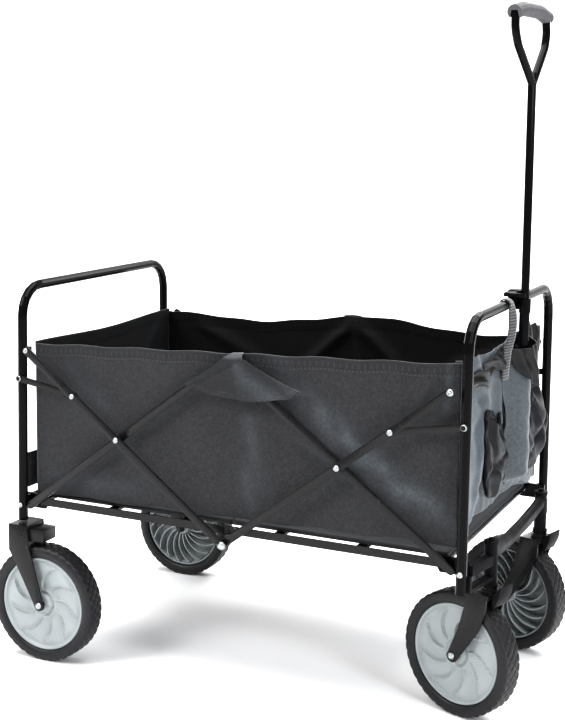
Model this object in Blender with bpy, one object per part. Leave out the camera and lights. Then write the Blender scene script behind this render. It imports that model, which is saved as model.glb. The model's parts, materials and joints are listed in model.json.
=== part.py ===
# Folding camp wagon, opened for use. Metres, +Z up, +X towards the handle, -Y is the right-hand side.
# The origin is on the floor, midway between the front and rear legs.
import math

import bmesh
import bpy
from mathutils import Matrix, Vector

# Frames: two upside-down U tubes, a little narrower at the top
LEG_X = 0.368
TUBE_R = 0.00775
TOP_Z = 0.601
TOP_HALF = 0.2215
LOW_HALF = 0.2270
LOW_Z = 0.250
BEND_R = 0.046
REAR_LEG_END = 0.2235
FRONT_LEG_END = 0.2190

# Scissor sides: bars A and B cross in the rear bay, C and D in the front bay
HINGE_X = 0.352
HINGE_Z = 0.2493
CROSS_X = 0.1829
CROSS_Z = 0.3778
TOP_MID_Z = 0.5168
LOW_MID_Z = 0.2388
TIP_X = 0.3485
TIP_Z = 0.5037
BAR_W = 0.0124
BAR_T = 0.0032
LAYER_A = 0.2404
LAYER_D = 0.2366
LAYER_LINK = 0.2332
LAYER_B = 0.2298
LAYER_C = 0.2260
LINK_T = 0.0024
LINK_W = 0.0100
LINK_Z = 0.456
LINK_END_X = 0.2625
LINK_END_Z = 0.4383

# Floor frame in two halves, hinged at the legs and lapped in the middle
FLOOR_X = 0.336
FLOOR_Z = 0.256
RAIL_REAR_Y = 0.2222
RAIL_FRONT_Y = 0.2184
SLAT_Y = (-0.190, -0.095, 0.0, 0.095, 0.190)
SLAT_SHIFT = 0.016
LAP = 0.012

# Wheels
WHEEL_R = 0.0938
RIM_R = 0.0752
TYRE_HALF = 0.0180
BORE_R = 0.0045
AXLE_R = 0.0040
REAR_AXLE_X = -0.3216
REAR_WHEEL_Y = 0.2290
STEM_X = 0.3857
STEM_Y = 0.1425
TRAIL = 0.0486
SWIVEL_RIGHT = math.radians(-19.8)
SWIVEL_LEFT = math.radians(-15.3)

# Telescopic handle
HANDLE_X = 0.3856
HANDLE_PIVOT_Z = 0.360
OUTER_R = 0.0080
INNER_R = 0.0064
COLLAR_TOP = 0.6075
YOKE_Z = 0.930
GRIP_Z = 1.030
GRIP_HALF = 0.0690
GRIP_TURN = math.radians(-5.5)
GRIP_LEAN = 0.05

# Fabric basket
SIDE_Y = 0.2105
CLOTH = 0.0030
BASKET_REAR = -0.3515
BASKET_FRONT = 0.357
SIDE_FRONT = 0.3533
FLOOR_TOP = 0.267

for old in list(bpy.data.objects):
    bpy.data.objects.remove(old, do_unlink=True)


# ---------- materials ----------
def material(name, colour, rough, metal=0.0):
    made = bpy.data.materials.new(name)
    made.use_nodes = True
    shader = made.node_tree.nodes["Principled BSDF"]
    shader.inputs["Base Color"].default_value = (*colour, 1.0)
    shader.inputs["Roughness"].default_value = rough
    shader.inputs["Metallic"].default_value = metal
    made.diffuse_color = (*colour, 1.0)
    return made


PAINT = dict(colour=(0.012, 0.012, 0.013), rough=0.22)
SATIN = dict(colour=(0.040, 0.040, 0.042), rough=0.42)
RUBBER = dict(colour=(0.030, 0.029, 0.031), rough=0.75)
HUB = dict(colour=(0.62, 0.64, 0.63), rough=0.45)
CLOTH_LOOK = dict(colour=(0.055, 0.055, 0.058), rough=0.85)
DARK_CLOTH = dict(colour=(0.022, 0.022, 0.025), rough=0.85)
WEB = dict(colour=(0.20, 0.21, 0.21), rough=0.8)
FOAM = dict(colour=(0.16, 0.155, 0.165), rough=0.7)
PLASTIC = dict(colour=(0.022, 0.022, 0.024), rough=0.4)


# ---------- building blocks, each a closed helper mesh ----------
def raw(bm):
    bmesh.ops.recalc_face_normals(bm, faces=bm.faces[:])
    mesh = bpy.data.meshes.new("piece")
    bm.to_mesh(mesh)
    bm.free()
    piece = bpy.data.objects.new("piece", mesh)
    bpy.context.scene.collection.objects.link(piece)
    return piece


def rings_to_solid(rings, closed=False):
    bm = bmesh.new()
    made = [[bm.verts.new(p) for p in ring] for ring in rings]
    count = len(made[0])
    pairs = list(zip(made, made[1:]))
    if closed:
        pairs.append((made[-1], made[0]))
    for low, high in pairs:
        for i in range(count):
            j = (i + 1) % count
            bm.faces.new((low[i], low[j], high[j], high[i]))
    if not closed:
        bm.faces.new(made[0][::-1])
        bm.faces.new(made[-1])
    return raw(bm)


def box(x0, x1, y0, y1, z0, z1):
    lower = [(x0, y0, z0), (x1, y0, z0), (x1, y1, z0), (x0, y1, z0)]
    upper = [(x, y, z1) for x, y, _ in lower]
    return rings_to_solid([lower, upper])


def rounded(points, radius, steps):
    """The path with each inner corner replaced by an arc."""
    points = [Vector(p) for p in points]
    path = [points[0]]
    for before, here, after in zip(points, points[1:], points[2:]):
        a, b = (before - here).normalized(), (after - here).normalized()
        half = a.angle(b) / 2
        cut = radius / math.tan(half)
        centre = here + (a + b).normalized() * (radius / math.sin(half))
        start = here + a * cut - centre
        end = here + b * cut - centre
        total = start.angle(end)
        for k in range(steps + 1):
            t = k / steps
            arc = start * math.sin((1 - t) * total) + end * math.sin(t * total)
            path.append(centre + arc / math.sin(total))
    path.append(points[-1])
    return path


def tube(path, radius, sides=12, squash=1.0):
    """A round bar along a path; squash flattens it along its second cross direction."""
    path = [Vector(p) for p in path]
    heads = [(b - a).normalized() for a, b in zip(path, path[1:])]
    turn = [heads[0]] + [(a + b).normalized() for a, b in zip(heads, heads[1:])] + [heads[-1]]
    up = Vector((1, 0, 0)) if abs(heads[0].x) < 0.9 else Vector((0, 1, 0))
    rings = []
    for point, head in zip(path, turn):
        side = (up - head * up.dot(head)).normalized()
        other = head.cross(side)
        up = side
        ring = []
        for k in range(sides):
            a = 2 * math.pi * (k + 0.5) / sides
            ring.append(point + side * math.cos(a) * radius * squash + other * math.sin(a) * radius)
        rings.append(ring)
    return rings_to_solid(rings)


def plate(outline, y0, y1):
    """An outline in X and Z, made solid between two Y values."""
    return rings_to_solid([[(x, y, z) for x, z in outline] for y in (y0, y1)])


def strip(start, end, width, y0, y1, steps=4):
    """A flat bar with round ends between two X, Z points."""
    a, b = Vector(start), Vector(end)
    along = (b - a).normalized()
    outline = []
    for centre, base in ((b, -math.pi / 2), (a, math.pi / 2)):
        for k in range(steps + 1):
            t = base + math.pi * k / steps
            step = along * math.cos(t) + Vector((-along.y, along.x)) * math.sin(t)
            outline.append(tuple(centre + step * width / 2))
    return plate(outline, y0, y1)


def turned(profile, centre, axis="Y", steps=32, closed=False):
    """A profile of (radius, height) pairs turned round an axis through centre."""
    rings = []
    for k in range(steps):
        a = 2 * math.pi * k / steps
        ring = []
        for r, h in profile:
            if axis == "Y":
                p = (r * math.cos(a), h, r * math.sin(a))
            else:
                p = (r * math.cos(a), r * math.sin(a), h)
            ring.append(tuple(Vector(p) + Vector(centre)))
        rings.append(ring)
    if closed:
        return rings_to_solid(rings, closed=True)
    # an open profile is capped at both ends
    bm = bmesh.new()
    made = [[bm.verts.new(p) for p in ring] for ring in rings]
    for k in range(steps):
        here, after = made[k], made[(k + 1) % steps]
        for i in range(len(profile) - 1):
            bm.faces.new((here[i], here[i + 1], after[i + 1], after[i]))
    bm.faces.new([ring[0] for ring in made])
    bm.faces.new([ring[-1] for ring in made])
    return raw(bm)


def rod(centre, radius, h0, h1, axis="Y", steps=12):
    return turned([(radius, h0), (radius, h1)], centre, axis, steps)


def head(x, z, y, side, radius=0.0055, tall=0.0030):
    """A domed fastener head standing out from y on one side, rooted a little inside."""
    profile = [
        (radius, y - side * 0.0010), (radius, y + side * tall * 0.30), (radius * 0.55, y + side * tall),
    ]
    return turned(profile, (x, 0, z), "Y", 10)


def fused(pieces, cuts=()):
    """One mesh from overlapping pieces, less the cutters."""
    base = pieces[0]
    helpers = []
    for kind, group in (("UNION", pieces[1:]), ("DIFFERENCE", cuts)):
        for piece in group:
            step = base.modifiers.new(kind, "BOOLEAN")
            step.operation = kind
            step.solver = "EXACT"
            step.object = piece
            helpers.append(piece)
    if helpers:
        graph = bpy.context.evaluated_depsgraph_get()
        mesh = bpy.data.meshes.new_from_object(base.evaluated_get(graph))
    else:
        mesh = base.data.copy()
    for piece in [base, *helpers]:
        bpy.data.objects.remove(piece, do_unlink=True)
    return mesh


# ---------- bodies: an empty on each joint axis ----------
bodies = {}
places = {}


def body(name, where, parent=None, offset=(0, 0, 0), turn_z=0.0):
    """An empty at a joint; a child's offset is in its parent's own, turned frame."""
    empty = bpy.data.objects.new("body_" + name, None)
    empty.empty_display_size = 0.03
    bpy.context.scene.collection.objects.link(empty)
    empty.location = Vector(where)
    empty.rotation_euler = (0, 0, turn_z)
    if parent:
        empty.parent = bodies[parent]
        empty.location = Vector(offset)
    bodies[name] = empty
    places[name] = Vector(where)


def part(name, owner, pieces, look, cuts=(), smooth=False, local=False):
    """A named node with its origin on its body's joint axis."""
    mesh = fused(pieces, cuts)
    if not local:
        mesh.transform(Matrix.Translation(-places[owner]))
    mesh.name = name
    mesh.materials.clear()
    mesh.materials.append(material(name, **look))
    for face in mesh.polygons:
        face.use_smooth = smooth
    made = bpy.data.objects.new(name, mesh)
    bpy.context.scene.collection.objects.link(made)
    made.parent = bodies[owner]
    return made


def leg_y(z):
    return LOW_HALF + (TOP_HALF - LOW_HALF) * (z - LOW_Z) / (TOP_Z - LOW_Z)


body("rear_frame", (0, 0, 0))
body("bar_b", (-HINGE_X, 0, HINGE_Z))
body("bar_a", (-CROSS_X, 0, CROSS_Z))
body("bar_c", (0, 0, TOP_MID_Z))
body("bar_d", (CROSS_X, 0, CROSS_Z))
body("front_frame", (HINGE_X, 0, HINGE_Z))
body("link_rear", (-LEG_X, 0, LINK_Z))
body("link_front", (LEG_X, 0, LINK_Z))
body("floor_rear", (-FLOOR_X, 0, FLOOR_Z))
body("floor_front", (FLOOR_X, 0, FLOOR_Z))
body("handle", (HANDLE_X, 0, HANDLE_PIVOT_Z))
body("handle_slide", (HANDLE_X, 0, COLLAR_TOP))
for side_name, side in (("right", -1), ("left", 1)):
    body("rear_wheel_" + side_name, (REAR_AXLE_X, side * REAR_WHEEL_Y, WHEEL_R))
for side_name, side, turn in (("right", -1, SWIVEL_RIGHT), ("left", 1, SWIVEL_LEFT)):
    stem = (STEM_X, side * STEM_Y, 0)
    body("caster_" + side_name, stem, turn_z=turn)
    body("front_wheel_" + side_name, stem, "caster_" + side_name, (-TRAIL, 0, WHEEL_R))
    body("brake_" + side_name, stem, "caster_" + side_name, (0.016, 0, 0.1985))


# ---------- U frames ----------
def u_tube(x, leg_end):
    path = [
        (x, -leg_y(leg_end), leg_end),
        (x, -TOP_HALF, TOP_Z),
        (x, TOP_HALF, TOP_Z),
        (x, leg_y(leg_end), leg_end),
    ]
    return tube(rounded(path, BEND_R, 5), TUBE_R, 12)


def hinge_lug(toward, side):
    """The bracket on a leg that carries a floor half; toward is -1 at the rear, 1 at the front."""
    outline = [
        (0.3740, 0.2420), (0.3740, 0.2655), (0.3310, 0.2655),
        (0.3280, 0.2620), (0.3280, 0.2500), (0.3330, 0.2420),
    ]
    outline = [(toward * x, z) for x, z in outline]
    ear = plate(outline, side * 0.2160, side * 0.2118)
    lo, hi = sorted((toward * 0.3580, toward * 0.3722))
    tie = box(lo, hi, *sorted((side * 0.2240, side * 0.2125)), 0.2435, 0.2645)
    hole = rod((toward * FLOOR_X, 0, FLOOR_Z), 0.0061, *sorted((side * 0.2100, side * 0.2180)), steps=16)
    return [ear, tie], hole


for name, x, toward, leg_end in (("rear", -LEG_X, -1, REAR_LEG_END), ("front", LEG_X, 1, FRONT_LEG_END)):
    pieces = [u_tube(x, leg_end)]
    cuts = []
    for side in (-1, 1):
        lug, hole = hinge_lug(toward, side)
        pieces += lug
        cuts.append(hole)
        pieces.append(head(x, 0.2485, side * (leg_y(0.2485) + TUBE_R - 0.0008), side, 0.0052, 0.0034))
    if name == "rear":
        pieces.append(tube([(x, -0.2270, 0.2560), (x, 0.2270, 0.2560)], 0.0060, 12))
        for side in (-1, 1):
            # short corner tab that holds the basket to the leg
            pieces.append(box(x + 0.0040, x + 0.0170, *sorted((side * 0.2222, side * 0.2262)), 0.5000, 0.5075))
    else:
        # cross tube behind the basket's front, with two cheeks that hold the foot of the handle
        z = HANDLE_PIVOT_Z
        bar = [(x, -0.2250, z), (0.3525, -0.2000, z), (0.3525, 0.2000, z), (x, 0.2250, z)]
        pieces.append(tube(rounded(bar, 0.010, 3), 0.0042, 10))
        for side in (-1, 1):
            ys = sorted((side * 0.0090, side * 0.0115))
            pieces.append(box(0.3515, HANDLE_X + 0.0065, *ys, z - 0.0076, z + 0.0078))
            pieces.append(head(HANDLE_X, z, side * 0.0115, side, 0.0042, 0.0024))
    part(name + "_u_frame", name + "_frame", pieces, PAINT, cuts, smooth=True)


# ---------- scissor bars ----------
def scissor(name, owner, ends, layer, heads, spacers=()):
    for side_name, side in (("right", -1), ("left", 1)):
        inner, outer = side * (layer - BAR_T / 2), side * (layer + BAR_T / 2)
        pieces = [strip(*ends, BAR_W, *sorted((inner, outer)))]
        for x, z, radius in heads:
            pieces.append(head(x, z, outer, side, radius))
        for x, z, reach in spacers:
            pieces.append(rod((x, 0, z), 0.0052, *sorted((inner + side * 0.001, side * reach))))
        part(f"{name}_{side_name}", owner, pieces, SATIN)


gap = 0.0005
scissor(
    "bar_a", "bar_a", ((-TIP_X, TIP_Z), (0, LOW_MID_Z)), LAYER_A,
    [
        (-TIP_X, TIP_Z, 0.0050), (-LINK_END_X, LINK_END_Z, 0.0050),
        (-CROSS_X, CROSS_Z, 0.0052), (0, LOW_MID_Z, 0.0072),
    ],
    [(-CROSS_X, CROSS_Z, LAYER_B + BAR_T / 2 + gap)],
)
scissor("bar_b", "bar_b", ((-HINGE_X, HINGE_Z), (0, TOP_MID_Z)), LAYER_B, [(0, TOP_MID_Z, 0.0050)])
scissor("bar_c", "bar_c", ((HINGE_X, HINGE_Z), (0, TOP_MID_Z)), LAYER_C, [])
scissor(
    "bar_d", "bar_d", ((TIP_X, TIP_Z), (0, LOW_MID_Z)), LAYER_D,
    [(TIP_X, TIP_Z, 0.0058), (LINK_END_X, LINK_END_Z, 0.0052), (CROSS_X, CROSS_Z, 0.0054)],
    [(CROSS_X, CROSS_Z, LAYER_C + BAR_T / 2 + gap)],
)
for name, toward in (("rear", -1), ("front", 1)):
    for side_name, side in (("right", -1), ("left", 1)):
        inner, outer = side * (LAYER_LINK - LINK_T / 2), side * (LAYER_LINK + LINK_T / 2)
        pieces = [
            strip((toward * LEG_X, LINK_Z), (toward * LINK_END_X, LINK_END_Z), LINK_W, *sorted((inner, outer))),
            head(toward * LEG_X, LINK_Z, outer, side, 0.0056, 0.0036),
        ]
        part(f"link_{name}_{side_name}", "link_" + name, pieces, SATIN)


# ---------- floor frame halves ----------
for name, toward, rail_y in (("rear", -1, RAIL_REAR_Y), ("front", 1, RAIL_FRONT_Y)):
    pieces = [tube([(toward * FLOOR_X, -rail_y, FLOOR_Z), (toward * FLOOR_X, rail_y, FLOOR_Z)], 0.0055, 12)]
    shift = SLAT_SHIFT if toward > 0 else 0.0
    for side in (-1, 1):
        pieces.append(
            strip(
                (toward * FLOOR_X, FLOOR_Z), (-toward * LAP, FLOOR_Z), 0.0120,
                *sorted((side * (rail_y - 0.0016), side * (rail_y + 0.0016))),
            )
        )
    if toward < 0:
        for side in (-1, 1):
            pieces.append(head(0.0, FLOOR_Z, side * (rail_y + 0.0016), side, 0.0040, 0.0022))
    for x in (0.078, 0.210):
        xs = sorted((toward * (x - 0.008), toward * (x + 0.008)))
        pieces.append(box(*xs, -rail_y, rail_y, 0.2535, 0.2575))
    for y in SLAT_Y:
        y += shift if abs(y) < 0.18 else math.copysign(shift * 0.8, -y)
        pieces.append(
            box(*sorted((toward * (FLOOR_X - 0.002), -toward * LAP)), y - 0.006, y + 0.006, 0.2570, 0.2610)
        )
    part(f"floor_frame_{name}", "floor_" + name, pieces, SATIN)


# ---------- wheels ----------
def tyre_profile():
    """(radius, height) loop round the tyre's section."""
    half = TYRE_HALF
    return [
        (RIM_R + 0.0004, -half * 0.86), (0.0815, -half), (0.0892, -half * 0.92), (WHEEL_R, -half * 0.40),
        (WHEEL_R, half * 0.40), (0.0892, half * 0.92), (0.0815, half), (RIM_R + 0.0004, half * 0.86),
    ]


def blade(a0, r0, r1, sweep, thick, y0, y1, steps=2):
    """A curved rib of the hub, leaning round by sweep as it goes out."""
    lower, upper = [], []
    for k in range(steps + 1):
        t = k / steps
        r, a = r0 + (r1 - r0) * t, a0 + sweep * t ** 1.5
        lean = math.atan2(1.5 * sweep * t ** 0.5 * r, r1 - r0)
        normal = Vector((-math.sin(a + lean), 0, math.cos(a + lean))) * thick / 2
        point = Vector((r * math.cos(a), 0, r * math.sin(a)))
        lower.append(point - normal)
        upper.append(point + normal)
    loop = lower + upper[::-1]
    return rings_to_solid([[(p.x, y, p.z) for p in loop] for y in (y0, y1)])


def hub(side):
    """The wheel centre; side is the direction of its outer face."""
    s = side
    profile = [
        (BORE_R, -0.0185 * s), (0.0120, -0.0185 * s), (0.0140, 0.0035 * s), (0.0660, 0.0068 * s),
        (0.0702, 0.0040 * s), (0.0702, -0.0150 * s), (RIM_R, -0.0150 * s), (RIM_R, 0.0140 * s),
        (0.0728, 0.0152 * s), (0.0670, 0.0104 * s), (0.0200, 0.0086 * s), (0.0150, 0.0175 * s),
        (BORE_R, 0.0185 * s),
    ]
    pieces = [turned(profile, (0, 0, 0), "Y", 30, closed=True)]
    for k in range(10):
        pieces.append(
            blade(2 * math.pi * k / 10, 0.0120, 0.0710, s * 0.55, 0.0018, *sorted((-0.0125 * s, 0.0060 * s)))
        )
    for k in range(9):
        ys = sorted((0.0070 * s, 0.0112 * s))
        pieces.append(blade(2 * math.pi * (k + 0.3) / 9, 0.0190, 0.0665, -s * 0.50, 0.0040, *ys))
    return pieces


for end in ("rear", "front"):
    for side_name, side in (("right", -1), ("left", 1)):
        owner = f"{end}_wheel_{side_name}"
        tyre = turned(tyre_profile(), (0, 0, 0), "Y", 36, closed=True)
        part(f"{end}_tyre_{side_name}", owner, [tyre], RUBBER, smooth=True, local=True)
        part(f"{end}_hub_{side_name}", owner, hub(side), HUB, local=True)


# ---------- rear forks ----------
def arm_outline(top, bottom, end_r):
    """A tapering arm: its upper corners in order, then a round end about the axle."""
    outline = list(top)
    for k in range(7):
        a = math.radians(-20 - 150 * k / 6)
        outline.append((bottom[0] + end_r * math.cos(a), bottom[1] + end_r * math.sin(a)))
    return outline


for side_name, side in (("right", -1), ("left", 1)):
    axle = (REAR_AXLE_X, WHEEL_R)
    top = [(-0.3625, 0.1510), (-0.3790, 0.1790), (-0.3790, 0.2215), (-0.3440, 0.2215), (-0.3405, 0.1860)]
    outline = arm_outline(top, axle, 0.0092)
    pieces = []
    for near, far in ((0.2498, 0.2526), (0.2054, 0.2082)):
        pieces.append(plate(outline, *sorted((side * near, side * far))))
    pieces.append(box(-0.3780, -0.3440, *sorted((side * 0.2060, side * 0.2520)), 0.1935, 0.2215))
    pieces.append(box(-0.3600, -0.3180, *sorted((side * 0.2100, side * 0.2440)), 0.1955, 0.2150))
    pieces.append(rod((axle[0], 0, axle[1]), AXLE_R, *sorted((side * 0.2062, side * 0.2518))))
    pieces.append(head(axle[0], axle[1], side * 0.2526, side, 0.0062, 0.0040))
    pieces.append(head(axle[0], axle[1], side * 0.2054, -side, 0.0062, 0.0034))
    part("rear_fork_" + side_name, "rear_frame", pieces, SATIN)

# ---------- front casters ----------
for side_name, side in (("right", -1), ("left", 1)):
    top = [
        (-0.0390, 0.1380), (-0.0300, 0.1700), (-0.0220, 0.1990),
        (0.0095, 0.1990), (0.0085, 0.1740), (-0.0020, 0.1440),
    ]
    outline = arm_outline(top, (-TRAIL, WHEEL_R), 0.0104)
    pieces = []
    for s in (-1, 1):
        pieces.append(plate(outline, *sorted((s * 0.0196, s * 0.0224))))
    pieces.append(box(-0.0235, 0.0115, -0.0215, 0.0215, 0.1915, 0.1985))
    pieces.append(rod((0, 0, 0), 0.0140, 0.1975, 0.2030, "Z", 16))
    pieces.append(rod((0, 0, 0), 0.0115, 0.2020, 0.2062, "Z", 16))
    pieces.append(rod((-TRAIL, 0, WHEEL_R), AXLE_R, -0.0210, 0.0210))
    for s in (-1, 1):
        pieces.append(head(-TRAIL, WHEEL_R, s * 0.0224, s, 0.0062, 0.0036))
    part("caster_fork_" + side_name, "caster_" + side_name, pieces, SATIN, local=True)
    # hooked brake pedal, hinged at the front of the crown
    wing = [
        (-0.0010, 0.0030), (0.0045, 0.0060), (0.0100, 0.0140), (0.0125, 0.0135),
        (0.0105, 0.0000), (0.0025, -0.0170), (-0.0005, -0.0165), (-0.0010, -0.0040),
    ]
    part("brake_pedal_" + side_name, "brake_" + side_name, [plate(wing, -0.0160, 0.0160)], PLASTIC, local=True)

# ---------- lower cross-member with the caster housings ----------
route = [(STEM_X, y, z) for y, z in ((-STEM_Y, 0.2575), (-0.062, 0.2500), (0.062, 0.2500), (STEM_Y, 0.2575))]
pieces = [tube(rounded(route, 0.090, 4), 0.0125, 14, squash=0.62)]
for side in (-1, 1):
    # the housing that the caster stem turns in, with its lower flange, cap and nut
    for radius, z0, z1 in ((0.0100, 0.2067, 0.2705), (0.0120, 0.2067, 0.2118), (0.0112, 0.2695, 0.2745)):
        pieces.append(rod((STEM_X, side * STEM_Y, 0), radius, z0, z1, "Z", 16))
    pieces.append(rod((STEM_X, side * STEM_Y, 0), 0.0045, 0.2735, 0.2785, "Z", 8))
    for z0, z1, reach in ((0.2180, 0.2235, 0.2170), (0.2400, 0.2550, 0.2095)):
        ring = [
            (STEM_X - 0.0070, side * (STEM_Y + 0.004)), (STEM_X + 0.0070, side * (STEM_Y + 0.004)),
            (0.3790, side * reach), (0.3640, side * reach),
        ]
        pieces.append(rings_to_solid([[(x, y, z) for x, y in ring] for z in (z0, z1)]))
    pieces.append(box(0.3640, 0.3790, *sorted((side * 0.2120, side * 0.2194)), 0.2180, 0.2415))
part("caster_cross_member", "front_frame", pieces, PAINT)

# ---------- handle ----------
pieces = [
    rod((HANDLE_X, 0, 0), OUTER_R, HANDLE_PIVOT_Z - 0.0100, COLLAR_TOP - 0.0100, "Z", 16),
    rod((HANDLE_X, 0, 0), OUTER_R + 0.0012, COLLAR_TOP - 0.0210, COLLAR_TOP, "Z", 16),
]
bore = rod((HANDLE_X, 0, 0), INNER_R + 0.0004, HANDLE_PIVOT_Z + 0.0120, COLLAR_TOP + 0.0050, "Z", 16)
part("handle_outer_tube", "handle", pieces, PAINT, [bore], smooth=True)


def at_handle(y, z):
    """A point of the loop, which is turned a little about the tube and leans a little to the rear."""
    return (HANDLE_X - y * math.sin(GRIP_TURN) - GRIP_LEAN * (z - YOKE_Z), y * math.cos(GRIP_TURN), z)


pieces = [rod((HANDLE_X, 0, 0), INNER_R, COLLAR_TOP - 0.0400, YOKE_Z + 0.012, "Z", 16)]
for side in (-1, 1):
    arm = [
        at_handle(side * 0.0010, YOKE_Z - 0.0040),
        at_handle(side * 0.0560, YOKE_Z + 0.0500),
        at_handle(side * (GRIP_HALF - 0.0030), YOKE_Z + 0.0720),
        at_handle(side * (GRIP_HALF - 0.0060), GRIP_Z - 0.0050),
    ]
    pieces.append(tube(rounded(arm, 0.030, 3), 0.0062, 10))
part("handle_inner_tube", "handle_slide", pieces, PAINT, smooth=True)
bow = [(-GRIP_HALF, -0.0050), (-GRIP_HALF * 0.5, 0.0020), (GRIP_HALF * 0.5, 0.0020), (GRIP_HALF, -0.0050)]
grip = tube(rounded([at_handle(y, GRIP_Z + rise) for y, rise in bow], 0.060, 3), 0.0108, 14)
ends = []
for side in (-1, 1):
    x, y, _ = at_handle(side * (GRIP_HALF - 0.0055), GRIP_Z - 0.0120)
    ends.append(rod((x, y, 0), 0.0078, GRIP_Z - 0.0250, GRIP_Z - 0.0025, "Z", 12))
part("handle_grip", "handle_slide", [grip], FOAM, ends, smooth=True)

# spring clip on the top bar that holds the raised handle
pieces = [box(LEG_X - 0.0115, LEG_X + 0.0145, 0.0102, 0.0290, TOP_Z - 0.0125, TOP_Z + 0.0165)]
pieces.append(box(LEG_X - 0.0115, HANDLE_X + 0.0040, 0.0105, 0.0150, TOP_Z + 0.0090, TOP_Z + 0.0150))
pieces.append(box(LEG_X - 0.0115, HANDLE_X + 0.0040, -0.0140, -0.0100, TOP_Z + 0.0090, TOP_Z + 0.0150))
pieces.append(box(LEG_X - 0.0115, LEG_X + 0.0045, -0.0140, 0.0140, TOP_Z + 0.0090, TOP_Z + 0.0150))
bar_slot = rod((LEG_X, 0, TOP_Z), TUBE_R + 0.0004, -0.0500, 0.0500, "Y", 16)
part("handle_clip", "front_frame", pieces, PLASTIC, [bar_slot])


# ---------- fabric ----------
def hem_z(x):
    """Height of the basket's side edge: lower at the rear than at the front."""
    return 0.5140 + 0.0260 * (x - BASKET_REAR) / (BASKET_FRONT - BASKET_REAR)


for side_name, side in (("right", -1), ("left", 1)):
    hem = [(x, hem_z(x)) for x in (SIDE_FRONT, BASKET_REAR)]
    outline = [(BASKET_REAR, 0.2690), (SIDE_FRONT, 0.2780), *hem]
    wall = plate(outline, *sorted((side * SIDE_Y, side * (SIDE_Y + CLOTH))))
    part("side_wall_" + side_name, "rear_frame", [wall], CLOTH_LOOK)
    # cap of cloth over the top middle hinge
    cap = [(-0.056, 0.468), (0.020, 0.458), (0.100, 0.472), (0.030, 0.5290), (0.010, 0.5290)]
    ys = sorted((side * 0.2358, side * 0.2372))
    flap = [plate(cap, *ys), box(0.004, 0.036, *sorted((side * 0.2145, side * 0.2370)), 0.5270, 0.5295)]
    part("hinge_flap_" + side_name, "bar_b", flap, CLOTH_LOOK)
part(
    "rear_wall", "rear_frame",
    [box(BASKET_REAR, BASKET_REAR + CLOTH, -SIDE_Y + 0.001, SIDE_Y - 0.001, 0.2690, 0.5120)], CLOTH_LOOK,
)
outline = [
    (-0.1975, 0.2840), (-0.0600, 0.2980), (0.0500, 0.2780), (0.1975, 0.2740),
    (0.1975, 0.5380), (0.0800, 0.5600), (-0.0350, 0.5560), (-0.1975, 0.5450),
]
wall = rings_to_solid([[(x, y, z) for y, z in outline] for x in (BASKET_FRONT, BASKET_FRONT + CLOTH)])
window = box(BASKET_FRONT - 0.01, BASKET_FRONT + 0.02, -0.0140, 0.0140, 0.3490, 0.3710)
part("front_wall", "front_frame", [wall], CLOTH_LOOK, [window])
part("rear_panel", "rear_frame", [box(-0.3690, -0.3664, -0.2140, 0.2140, 0.2740, 0.3310)], CLOTH_LOOK)
for name, toward in (("rear", -1), ("front", 1)):
    lo, hi = sorted((toward * 0.3400, toward * 0.0020))
    part(f"floor_pad_{name}", "floor_" + name, [box(lo, hi, -0.2050, 0.2050, 0.2614, FLOOR_TOP)], DARK_CLOTH)


def pouch(y0, y1, deep, z0, z1):
    """An open-topped pocket: a box leaning out, hollow from above."""
    x0, x1 = BASKET_FRONT + CLOTH + 0.0005, BASKET_FRONT + CLOTH + deep
    taper = (y1 - y0) * 0.16

    def level(wall, z, x_end, inset):
        """A four-cornered ring, drawn in by the wall's thickness."""
        near, far = y0 + inset + wall, y1 - inset - wall
        back, front = x0 + wall / 2, x_end - wall
        return [(back, near, z), (front, near, z), (front, far, z), (back, far, z)]

    shell = rings_to_solid([level(0, z0, x1 - 0.008, taper), level(0, z1, x1, 0)])
    hollow = rings_to_solid([level(0.003, z0 + 0.003, x1 - 0.008, taper), level(0.003, z1 + 0.002, x1, 0)])
    return [shell], [hollow]


POCKETS = (("right", -0.1340, -0.0300, 0.0260, 0.4400), ("left", 0.0260, 0.1750, 0.0380, 0.4450))
for side_name, y0, y1, deep, top in POCKETS:
    shell, hollow = pouch(y0, y1, deep, 0.3320, top)
    part("front_pocket_" + side_name, "front_frame", shell, DARK_CLOTH, hollow)

# sleeve of cloth round the handle's outer tube
rings = []
for z, w in ((0.3725, 0.004), (0.5250, 0.006)):
    half = [(0.3712, 0.013 + w), (0.3900, 0.013 + w * 0.4), (0.3945, 0.005)]
    rings.append([(x, y, z) for x, y in half] + [(x, -y, z) for x, y in half[::-1]])
channel = rod((HANDLE_X, 0, 0), OUTER_R + 0.0016, 0.3600, 0.5400, "Z", 16)
part("handle_sleeve", "handle", [rings_to_solid(rings)], CLOTH_LOOK, [channel])

# webbing that hangs from the top bar in front of the basket, turning as it falls
rings = []
STRAP = ((0.3800, -0.0405, 0.5915, 27), (0.3745, -0.0470, 0.5600, 24), (0.3705, -0.0510, 0.4900, 12))
for x, y, z, turn in STRAP:
    across = Vector((math.sin(math.radians(turn)), math.cos(math.radians(turn)), 0)) * 0.0110
    centre, thick = Vector((x, y, z)), Vector((0.0014, 0, 0))
    rings.append([centre - across, centre + across, centre + across + thick, centre - across + thick])
part("front_strap", "front_frame", [rings_to_solid(rings)], WEB)
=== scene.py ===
"""Looks for the folding camp wagon: materials, fabric, wheels, fasteners, light and camera."""

import json
import math

import bmesh
import bpy
import numpy as np
from mathutils import Matrix, Vector

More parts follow.
